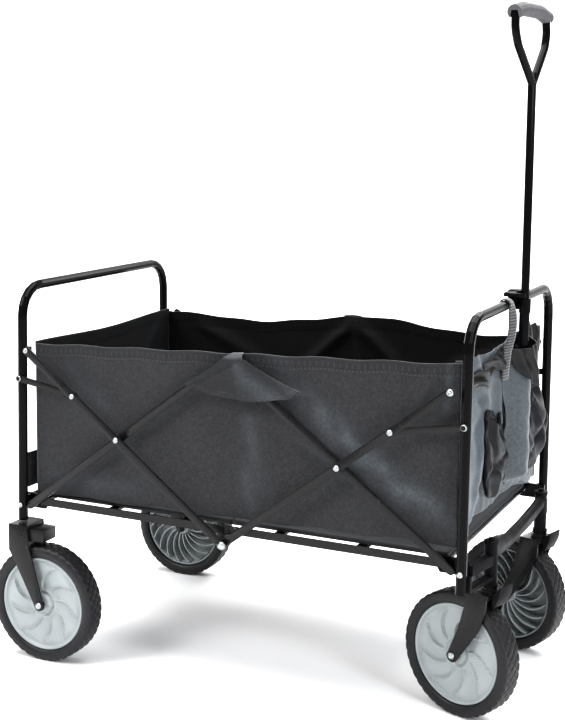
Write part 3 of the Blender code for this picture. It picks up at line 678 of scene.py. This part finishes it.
# ---- gathered pockets
def pocket(name, node, side):
    low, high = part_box(node)
    deep, wide = high.x - low.x, high.y - low.y

    def surface(u, v):
        """From the back's left edge round the belly to the right edge, bottom to top."""
        around = (u - 0.5) * math.pi
        slump = np.sin(math.pi * np.clip(v * 1.05 + 0.02, 0, 1)) ** 0.7
        width = wide / 2 * (0.52 + 0.16 * v + 0.32 * slump)
        seam = 1 - 2 * np.abs(np.sin(u * 8.5 + 1.3 * v + side)) ** 0.7 + 0.5 * np.sin(u * 31 + 2.8 * v)
        pleat = 0.0042 * seam * (0.35 + 0.65 * v ** 1.2)
        crumple = ripple(u * wide * 1.5, v * 0.11, 7 + side, 0.0048, 14, 60, 240)
        crumple = crumple - fold(u, v, (0.05, 0.15), (0.80, 0.62), 0.06, 0.007)
        crumple = crumple - fold(u, v, (0.25, 0.95), (0.45, 0.30), 0.05, 0.006)
        belly = deep * (0.34 + 0.66 * slump * (1 - 0.25 * v))
        round_out = np.maximum(np.cos(around), 0) ** 0.6
        sag = 0.011 * np.sin(u * 9 + side) + 0.020 * (u - 0.5) * side
        y = (low.y + high.y) / 2 + np.sin(around) * width + 0.006 * side * (1 - v) * round_out
        x = low.x + 0.0040 + round_out * (belly - 0.006) + (pleat + crumple) * round_out
        z = low.z + 0.003 + (high.z - low.z - 0.004) * v + sag * v - 0.012 * round_out * (1 - v) ** 2
        return np.maximum(x, low.x + 0.0022), y, z

    piece = cloth(name, surface, 120, 54, 0.0014, LINING)
    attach(piece, "front_frame")
    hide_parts(node)

    def band_surface(u, v):
        """The hemmed lip folded over the pocket's mouth."""
        x, y, z = surface(u, 0.90 + 0.10 * v)
        return x + 0.0016 + 0.0012 * np.sin(math.pi * v), y, z + 0.0012

    lip = cloth(name + "_lip", band_surface, 120, 8, 0.0012, HOOD_PAINTED_SHADE)
    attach(lip, "front_frame")


pocket("pouch_right", "front_pocket_right", -1)
pocket("pouch_left", "front_pocket_left", 1)


# ---- cover over the foot of the handle
sleeve_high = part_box("handle_sleeve")[1]
COVER_FOOT, COVER_HALF = 0.322, 0.0275


def cover_spread(z):
    """Half the cover's width: narrow between the pockets, wider above them."""
    return COVER_HALF + 0.0270 * np.clip((z - 0.445) / 0.060, 0, 1)


def cover_face(y, z):
    """How far forward the handle's cover is: flat against the front side, standing out over the tube."""
    back = front_face(y, np.minimum(z, front_top(y) - 0.002)) + 0.0014
    crown = np.exp(-((np.abs(y) / (0.0225 + 0.25 * (cover_spread(z) - COVER_HALF))) ** 3))
    rise = np.clip((z - COVER_FOOT - 0.003) / 0.016, 0, 1)
    return back + (sleeve_high.x + 0.0022 - back) * crown * rise * rise * (3 - 2 * rise)


def cover_surface(u, v):
    """From the wall on one side, round the tube's front, back to the wall on the other side."""
    foot = COVER_FOOT + 0.006 * np.sin(u * 7)
    z = foot + (sleeve_high.z + 0.0045 - foot) * v
    y = (u - 0.5) * 2 * cover_spread(z)
    fall = np.abs(ripple(y, z, 3, 0.0030, 9, 40, 120)) * np.clip(1 - np.abs(u - 0.5) * 2, 0, 1)
    return cover_face(y, z) + fall, y, z


def cover_shine(u, v):
    """Painted light and shade: pale as the front on the near side of a crease, with a painted highlight along
    it, duller beyond it.
    """
    _, y, z = cover_surface(u, v)
    crease = 0.010 - 0.10 * (z - 0.44)
    tone = np.where(y < crease, 0.48 + 0.5 * front_shine(y, z), 0.24)
    return np.clip(tone + 0.5 * np.exp(-(((y - crease) / 0.0016) ** 2)), 0, 0.95)


sleeve = cloth("handle_cover", cover_surface, 70, 60, 0.0012, WALL_FRONT_PAINTED_SHEEN, shine=cover_shine)
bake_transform(sleeve)
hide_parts("handle_sleeve")


def collar_surface(u, v):
    """A gathered collar round the top of the cover, drooping in front, dark with painted shade."""
    y = -0.040 + 0.082 * u
    droop = 0.052 * np.sin(math.pi * np.clip(0.12 + 0.80 * u, 0, 1)) ** 1.5 + 0.004
    top = sleeve_high.z + 0.010 + 0.014 * np.exp(-(((u - 0.85) / 0.25) ** 2))
    z = top - droop * (1 - v)
    gather = 0.0045 * np.sin(u * 27 + 4 * v) * (1 - 0.4 * v) + ripple(y, z, 71, 0.0034, 10, 80, 240)
    return cover_face(y, z) + 0.0070 + gather * 0.7 + 0.0035 * (1 - v), y, z


collar = cloth("handle_collar", collar_surface, 80, 36, 0.0013, HOOD_PAINTED_SHADE)
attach(collar, "handle")


# ---- bunched cloth at the top of the front, on the left of the handle
def hood_surface(u, v):
    y = 0.026 + 0.122 * u + 0.008 * v
    drop = 0.062 + 0.026 * np.sin(math.pi * np.clip(u * 1.5, 0, 1)) - 0.012 * u
    top = front_top(y) + 0.012 * np.exp(-(((u - 0.25) / 0.22) ** 2))
    z = top - drop * (1 - v) + 0.004 * np.sin(u * 21)
    gather = 0.0040 * np.sin(u * 19 + 1.5 * v) + ripple(y, z, 77, 0.0026, 12, 60, 210)
    bulk = (0.0100 * np.sin(math.pi * v) + gather) * np.sin(math.pi * np.clip(0.1 + 0.8 * u, 0, 1))
    return np.maximum(front_high.x + 0.0090 + bulk, front_high.x + 0.0058), y, z


# painted shade: the bunched cloth takes the darkened copy of the side cloth
hood = cloth("front_gather", hood_surface, 90, 46, 0.0014, HOOD_PAINTED_SHADE)
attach(hood, "front_frame")


def top_fold_surface(u, v):
    """The front's top hem turned down and rucked between the near leg and the webbing, dark with painted
    shade.
    """
    first, last = front_low.y + 0.004, -0.048
    y = first + (last - first) * u
    drop = 0.030 + 0.005 * np.sin(u * 15)
    z = front_top(y) + 0.002 - 0.034 * (1 - u) ** 1.3 - drop * (1 - v)
    back = front_face(y, np.minimum(z, front_top(y) - 0.002)) + 0.0030
    ruck = 0.0038 * np.sin(46 * (v * 0.16 + u * 0.45)) + ripple(y, z, 79, 0.0022, 12, 60, 200)
    return back + (0.0042 + ruck) * np.sin(math.pi * np.clip(0.08 + 0.84 * v, 0, 1)), y, z


top_fold = cloth("front_top_fold", top_fold_surface, 110, 34, 0.0013, HOOD_PAINTED_SHADE)
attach(top_fold, "front_frame")


# ---- webbing over the top bar and down to the front
strap_low, strap_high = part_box("front_strap")
BAR_RADIUS, LOOP_RADIUS, WEBBING_WIDTH = 0.00775, 0.0098, 0.0165


def strap_surface(u, v):
    """Up behind the bar, over it, then down in front, turning as it falls."""
    bar_x, bar_top = joints["link_front_pivot"]["pos_m"][0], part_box("front_u_frame")[1].z
    over = np.clip(u / 0.30, 0, 1)
    down = np.clip((u - 0.30) / 0.70, 0, 1)
    arc = over * math.pi * 0.86
    x = bar_x - np.cos(arc) * LOOP_RADIUS
    z = bar_top - BAR_RADIUS + np.sin(arc) * LOOP_RADIUS - 0.003 * (1 - np.clip(u / 0.12, 0, 1))
    x = x + (strap_low.x + 0.0052 - bar_x - 0.0090) * down ** 1.3
    x = x + 0.0045 * np.sin(math.pi * np.clip(down * 1.6, 0, 1))
    z = z - (bar_top - strap_low.z - 0.004) * down
    turn = np.radians(16 + 14 * np.sin(math.pi * np.clip(0.25 + 0.75 * down, 0, 1))) * np.clip(down * 8, 0, 1)
    y = strap_high.y - 0.0115 - 0.0125 * down
    reach = (v - 0.5) * WEBBING_WIDTH
    return x + np.sin(turn) * reach, y + np.cos(turn) * reach, z


strap = cloth("webbing", strap_surface, 110, 6, 0.0015, WEBBING)
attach(strap, "front_frame")
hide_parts("front_strap")


# ---- cap over each top hinge: the side's cloth carried out over the bars, with an open lower edge
def cap(name, side):
    low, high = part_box(f"hinge_flap_{name}")
    wall = WALL_Y + 0.0020
    rise = max(abs(low.y), abs(high.y)) + 0.0004 - wall
    hinge = Vector(joints["top_middle"]["pos_m"])
    foot = Vector(joints["fold"]["pos_m"])
    slope = (hinge.z - foot.z) / (hinge.x - foot.x)
    left, far = low.x + 0.002, high.x + 0.008
    apex = (left + far) / 2 + 0.002

    def surface(u, v):
        """A tent: its foot runs from above the rear bar round the skirt, its top lies on the hem."""
        foot_x = left - 0.009 + (far + 0.012 - (left - 0.009)) * u
        dip = 1 - ((foot_x - apex) / (far - apex)) ** 2
        foot_z = low.z + 0.0135 - 0.0105 * np.clip(dip, 0, 1) + 0.0006 * np.sin(foot_x * 95)
        foot_z = foot_z + 0.62 * np.clip(left - foot_x, 0, 1) + 0.75 * np.clip(foot_x - far, 0, 1)
        top_x = hinge.x + 0.004 + 0.018 * u
        ease = v ** 0.9
        x = foot_x + (top_x - foot_x) * ease
        z = foot_z + (hem_line(top_x, side) + 0.0014 - foot_z) * v
        from_rear = (z - (hinge.z + slope * (x - hinge.x))) * math.cos(math.atan(slope))
        rear_fade = np.clip(1 - (from_rear - 0.0075) / 0.0055, 0, 1)
        past = (x - (apex + 0.006)) * 0.53 + (z - hinge.z) * 0.85
        front_fade = np.clip(1 - (past - 0.002) / 0.022, 0, 1)
        lift = np.minimum(rear_fade, front_fade)
        lift = lift * lift * (3 - 2 * lift)
        tuck = np.clip((v - 0.88) / 0.12, 0, 1) ** 2
        out = rise * lift * (1 - tuck)
        crease = fold(x, z, (apex - 0.003, 0.519), (left + 0.004, low.z + 0.014), 0.0045, -0.0016)
        crease = crease + fold(x, z, (apex + 0.005, 0.519), (far, low.z + 0.014), 0.0055, -0.0016)
        crease = crease + fold(x, z, (apex, 0.512), (apex + 0.012, low.z), 0.012, 0.0032)
        flare = 0.0028 * np.clip(1 - v / 0.35, 0, 1) ** 2 * lift
        out = out + (crease + flare + ripple(x, z, 41, 0.0005, 8, 40, 130)) * lift * (1 - tuck)
        return x, side * (wall + np.maximum(out, 0)), z

    def shine(u, v):
        """Painted sheen: a pale band down the front third."""
        return np.clip(0.55 * np.exp(-(((u - 0.80 + 0.25 * v) / 0.14) ** 2)) * (1 - v ** 3), 0, 1)

    piece = cloth(f"hinge_cap_{name}", surface, 130, 54, 0.0012, WALL_FLAP_PAINTED_SHADE, top_edge=False, shine=shine)
    if side > 0:
        outward(piece)
    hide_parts(f"hinge_flap_{name}")
    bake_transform(piece)


for name, side in SIDES:
    cap(name, side)


# ---- floor boards in cloth
def floor_pad(node, body):
    low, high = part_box(node)

    def surface(u, v):
        x, y = low.x + (high.x - low.x) * u, low.y + (high.y - low.y) * v
        puff = np.clip(np.sin(math.pi * u) * 8, 0, 1) * np.clip(np.sin(math.pi * v) * 8, 0, 1)
        return x, y, (low.z + high.z) / 2 + ripple(x, y, 17, 0.0003) * puff

    piece = cloth(node.replace("pad", "board"), surface, 60, 70, high.z - low.z, FLOOR_CLOTH)
    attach(piece, body)
    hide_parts(node)


floor_pad("floor_pad_rear", "floor_rear")
floor_pad("floor_pad_front", "floor_front")


# ======== wheels
TREAD_BLOCKS = 40
# how far the hub's ribs curve, in radians, how many are on each face, and the radii where they start and end
SWEEP = 0.62
OUTER_RIBS, INNER_RIBS = 9, 19
RIB_START, RIB_END, FIN_START = 0.023, 0.066, 0.0138


def tread(r, h, a):
    """Cross-hatched blocks cut into the running face, fading on the shoulders."""
    pitch = math.tau / TREAD_BLOCKS
    slope = h / 0.0135
    one = np.abs(((a / pitch + slope * 0.9) % 1) - 0.5)
    two = np.abs(((a / pitch - slope * 0.9) % 1) - 0.5)
    groove = np.clip(1.4 - np.minimum(one, two) / 0.11, 0, 1)
    rim_ring = np.clip(1 - np.abs(np.abs(h) - 0.0085) / 0.0008, 0, 1) * 0.5
    face = np.clip((r - 0.0885) / 0.003, 0, 1)
    return r - face * 0.0012 * np.maximum(groove, rim_ring), h


def tyre_flank(outer, inner, half):
    """One side, from the bead to the running face."""
    flank = []
    for k in range(1, 8):
        t = k / 7
        flank.append((inner + (outer - inner) * 0.72 * t, half * (0.86 + 0.16 * math.sin(t * 2.2))))
    edge = outer - (outer - inner) * 0.28
    for k in range(1, 6):
        a = k / 6 * math.pi / 2
        flank.append((edge + (outer - edge) * math.sin(a), half * (0.70 + 0.29 * math.cos(a))))
    return flank


def tyre_loop(outer, inner, half):
    """The whole section: seat, one side, running face, other side."""
    seat = [(inner + 0.0008, -half * 0.84 + 1.68 * half * k / 8) for k in range(9)]
    flank = tyre_flank(outer, inner, half)
    running = [(outer - 0.0005 * ((k - 11) / 11) ** 2, half * (0.70 - 1.40 * k / 22)) for k in range(23)]
    return seat + flank + running + [(radius, -height) for radius, height in reversed(flank)]


def vane(a, r, count, sweep, width, start, end):
    """1 on a curved rib and 0 beside it; width is in metres."""
    bend = sweep * np.clip((r - start) / (end - start), 0, 1) ** 1.4
    off = np.abs((((a - bend) / math.tau * count) % 1) - 0.5)
    gap = off * math.tau * r / count
    side = np.clip(1.5 - gap / (width / 2), 0, 1)
    return side * np.clip((r - start) / 0.004, 0, 1) * np.clip((end - r) / 0.004, 0, 1)


def hub_faces(a, r, rim):
    """Heights of the outer and inner faces of the hub, measured outwards."""
    boss = np.clip((0.0165 - r) / 0.002, 0, 1)
    collar = np.clip(1 - np.abs(r - 0.0215) / 0.0034, 0, 1)
    dish = 0.0085 + 0.0022 * np.clip((r - 0.02) / 0.045, 0, 1) ** 2
    rib = vane(a, r, OUTER_RIBS, -SWEEP, 0.0030, RIB_START, RIB_END)
    outer = dish + rib * 0.0042 * (1.25 - r / rim)
    bend = -SWEEP * np.clip((r - RIB_START) / (RIB_END - RIB_START), 0, 1) ** 1.4
    # between ribs the face ramps from one to the next
    saw = ((a - bend) / math.tau * OUTER_RIBS - 0.5) % 1
    fade = np.clip((r - 0.025) / 0.018, 0, 1) * np.clip((0.067 - r) / 0.004, 0, 1)
    outer = outer + 0.0034 * (1 - saw) * fade
    outer = outer + collar * 0.0030 + boss * 0.0060
    outer = outer + np.clip((r - (rim - 0.0058)) / 0.0022, 0, 1) * 0.0042
    inner = dish - 0.0040 - 0.0035 * boss
    inner = inner - np.clip((0.0145 - r) / 0.001, 0, 1) * 0.016
    inner = inner - np.clip((r - (rim - 0.0042)) / 0.0012, 0, 1) * 0.0185
    return outer, inner


def fins(rim, side, first):
    """Thin curved ribs on the hub's inner face, each a closed blade."""
    points, faces = [], []
    t = np.linspace(0, 1, 12)
    reach = rim - 0.0050 - FIN_START
    r = FIN_START + reach * t
    for k in range(INNER_RIBS):
        a = math.tau * k / INNER_RIBS + SWEEP * t ** 1.5
        lean = np.arctan2(SWEEP * 1.5 * t ** 0.5 * r, reach)
        centre = np.stack([r * np.cos(a), r * np.sin(a)], -1)
        aside = np.stack([-np.sin(a + lean), np.cos(a + lean)], -1) * 0.0010
        base = first + len(points)
        for i in range(len(t)):
            deep = -0.0105 - 0.0020 * t[i]
            for sign, height in ((-1, 0.0052), (1, 0.0052), (1, deep), (-1, deep)):
                x, z = centre[i] + aside[i] * sign * (1.0 if height > 0 else 0.7)
                points.append((x, side * height, z))
        faces += grid_faces(len(t), 4, wrap=True, start=base)
        faces += [(base + 3, base + 2, base + 1, base), tuple(base + 4 * (len(t) - 1) + j for j in range(4))]
    return points, faces


def hub_mesh(name, rim, side):
    """The moulded disc with its rim, boss and both sets of ribs."""
    steps = 432
    radii = np.concatenate([[0.0046], np.linspace(0.0085, 0.0225, 10), np.linspace(0.026, rim - 0.0075, 14),
                            np.linspace(rim - 0.0060, rim, 7)])
    angle = np.linspace(0, math.tau, steps, endpoint=False)
    r, a = np.meshgrid(radii, angle, indexing="ij")
    outer, inner = hub_faces(a, r, rim)
    outer[-1], inner[-1] = outer[-1] - 0.0010, inner[-1] + 0.0010
    rows = []
    for face, order in ((outer, 1), (inner, -1)):
        ring = np.stack([r * np.cos(a), side * face, r * np.sin(a)], -1)[::order]
        rows.append(ring.reshape(-1, 3))
    faces = grid_faces(2 * len(radii), steps, wrap=True)
    last = (2 * len(radii) - 1) * steps
    faces += [(last + k, last + (k + 1) % steps, (k + 1) % steps, k) for k in range(steps)]
    points = np.concatenate(rows)
    fin_points, fin_faces = fins(rim, side, len(points))
    return outward(add(name, np.concatenate([points, fin_points]), faces + fin_faces, HUB))


def wheel(end, name, side):
    low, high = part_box(f"{end}_tyre_{name}")
    axis = Vector(joints[f"{end}_axle_{name}"]["axis"])
    turn = math.atan2(-axis.x, axis.y)
    outer = (high.z - low.z) / 2
    # half the tyre's width along its axle
    half = 0.0180
    spot = Matrix.Translation((low + high) / 2) @ Matrix.Rotation(turn, 4, "Z")
    rim = outer * 0.80
    tyre = outward(lathe(f"{end}_tread_{name}", tyre_loop(outer, rim, half), RUBBER, 368, bend=tread))
    centre = hub_mesh(f"{end}_disc_{name}", rim + 0.0004, side)
    for piece, node, slot in (
        (tyre, f"{end}_tyre_{name}", "tyre"),
        (centre, f"{end}_hub_{name}", "hub_plastic"),
    ):
        piece.data.transform(spot)
        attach(piece, f"{end}_wheel_{name}")
        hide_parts(node)
        sharpen(piece, 60)


for end in ("rear", "front"):
    for name, side in SIDES:
        wheel(end, name, side)


# ======== fasteners
# a head's size for a hole's size
HEAD_SHARE = 0.82
# how far a bar's end pivot is from the end of its box, and the link's pin from the bar's crossing
END_INSET, LINK_REACH = 0.0062, 0.100
RIVET_TALL = 0.0034
LEG_BOLT_Z, AXLE_HEAD = 0.2485, 0.0066


def rivet(name, body, centre, out, size, tall):
    """A pressed head: a flange, a dome and a dimple, standing out from centre along out."""
    radius = size * HEAD_SHARE
    profile = [(0.0001, 0.0), (radius * 1.04, 0.0), (radius * 1.08, 0.0006)]
    for k in range(8):
        a = k / 7 * math.pi / 2
        profile.append((radius * (0.42 + 0.60 * math.cos(a)), 0.0008 + (tall - 0.0008) * math.sin(a)))
    profile += [(radius * 0.30, tall - 0.0002), (0.0001, tall - 0.0004)]
    made = outward(lathe(name, profile, ZINC, 28, axis="Z"))
    facing = Vector((0, 0, 1)).rotation_difference(Vector(out)).to_matrix().to_4x4()
    made.data.transform(Matrix.Translation(centre) @ facing)
    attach(made, body)
    sharpen(made, 50)


for name, side in SIDES:
    out = (0, side, 0)
    for bar, points in (
        ("bar_a", (("cross_rear", 0.0055), ("tip", 0.0052), ("link", 0.0052), ("foot", 0.0076))),
        ("bar_d", (("cross_front", 0.0057), ("tip", 0.0062), ("link", 0.0055))),
        ("link_rear", (("link_rear_pivot", 0.0059),)),
        ("link_front", (("link_front_pivot", 0.0059),)),
        ("bar_b", (("top_middle", 0.0052),)),
    ):
        low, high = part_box(f"{bar}_{name}")
        # the bar's face is one head's height inside its box
        tall = 0.0036 if bar.startswith("link") else 0.0030
        face = (high.y if side > 0 else low.y) - side * tall
        rearward = bar == "bar_a"
        end_x = low.x + END_INSET if rearward else high.x - END_INSET
        end_z = high.z - END_INSET
        for spot, size in points:
            if spot in joints:
                x, _, z = joints[spot]["pos_m"]
            elif spot == "tip":
                x, z = end_x, end_z
            elif spot == "foot":
                x, z = high.x - END_INSET, low.z + END_INSET
            else:
                crossing = Vector(joints["cross_rear" if rearward else "cross_front"]["pos_m"])
                share = LINK_REACH / (Vector((end_x, 0, end_z)) - Vector((crossing.x, 0, crossing.z))).length
                x = crossing.x + (end_x - crossing.x) * share
                z = crossing.z + (end_z - crossing.z) * share
            rivet(f"rivet_{bar}_{spot}_{name}", bar, (x, face, z), out, size, RIVET_TALL)

# leg bolts, axle bolts
for end, body in (("rear", "rear_frame"), ("front", "front_frame")):
    low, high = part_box(f"{end}_u_frame")
    for name, side in SIDES:
        edge = high.y if side > 0 else low.y
        x = joints[f"link_{end}_pivot"]["pos_m"][0]
        rivet(f"leg_bolt_{end}_{name}", body,
              (x, edge - side * RIVET_TALL, LEG_BOLT_Z), (0, side, 0), 0.0054, 0.0040)
for name, side in SIDES:
    x, _, z = joints[f"rear_axle_{name}"]["pos_m"]
    low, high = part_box(f"rear_fork_{name}")
    edge = high.y if side > 0 else low.y
    rivet(f"rear_axle_bolt_{name}", "rear_frame",
          (x, edge - side * 0.0040, z), (0, side, 0), AXLE_HEAD, 0.0048)
    at = Vector(joints[f"front_axle_{name}"]["pos_m"])
    axis = Vector(joints[f"front_axle_{name}"]["axis"])
    for sign in (-1, 1):
        rivet(f"front_axle_bolt_{name}_{'in' if sign * side < 0 else 'out'}", f"caster_{name}",
              at + axis * sign * 0.0224, axis * sign, AXLE_HEAD, 0.0044)

for node in nodes.values():
    if not node.hide_render:
        sharpen(node)


# ======== floor and light
def stage_points():
    """A level floor that curves up into a backdrop far behind the wagon."""
    profile = [(-12.0, 0.0), (3.0, 0.0), (5.0, 0.0)]
    for k in range(1, 13):
        a = math.pi / 2 * k / 12
        profile.append((5.0 + 3.0 * math.sin(a), 3.0 - 3.0 * math.cos(a)))
    profile.append((8.0, 9.0))
    return [(x, y, z) for y, z in profile for x in (-14.0, 14.0)], len(profile)


floor_look = Look("studio_floor", rough=0.9, Specular_IOR_Level=0.1).done((0.88, 0.88, 0.885))
stage, stage_rows = stage_points()
ground = add("ground", stage, grid_faces(stage_rows, 2), floor_look)


def softbox(name, where, towards, size, power, tint=(1, 1, 1)):
    """A rectangular lamp at where, facing towards."""
    data = bpy.data.lights.new(name, "AREA")
    data.shape = "RECTANGLE"
    data.size, data.size_y = size
    data.energy = power
    data.color = tint
    lamp = bpy.data.objects.new(name, data)
    bpy.context.scene.collection.objects.link(lamp)
    lamp.location = where
    lamp.rotation_euler = (Vector(towards) - Vector(where)).to_track_quat("-Z", "Y").to_euler()


softbox("top", (0, 0.2, 4.2), (0, 0, 0), (5.5, 4.5), 500)
softbox("key", (-1.9, -2.6, 2.4), (0, 0, 0.3), (1.2, 1.5), 92)
softbox("fill", (3.0, -1.6, 1.7), (0.2, 0, 0.35), (1.0, 1.8), 62, (0.96, 0.98, 1))
softbox("back", (0.4, 3.2, 2.6), (0, 0, 0.5), (2.4, 1.2), 60)
softbox("backdrop", (-2.2, 3.0, 3.4), (-3.0, 8.0, 1.2), (4.0, 2.0), 420)

bpy.context.scene.view_settings.view_transform = "Standard"
bpy.context.scene.view_settings.look = "Medium High Contrast"
world = bpy.data.worlds.new("studio")
world.use_nodes = True
sky = world.node_tree.nodes["Background"].inputs
sky["Color"].default_value = (1, 1, 1, 1)
sky["Strength"].default_value = 0.28
bpy.context.scene.world = world
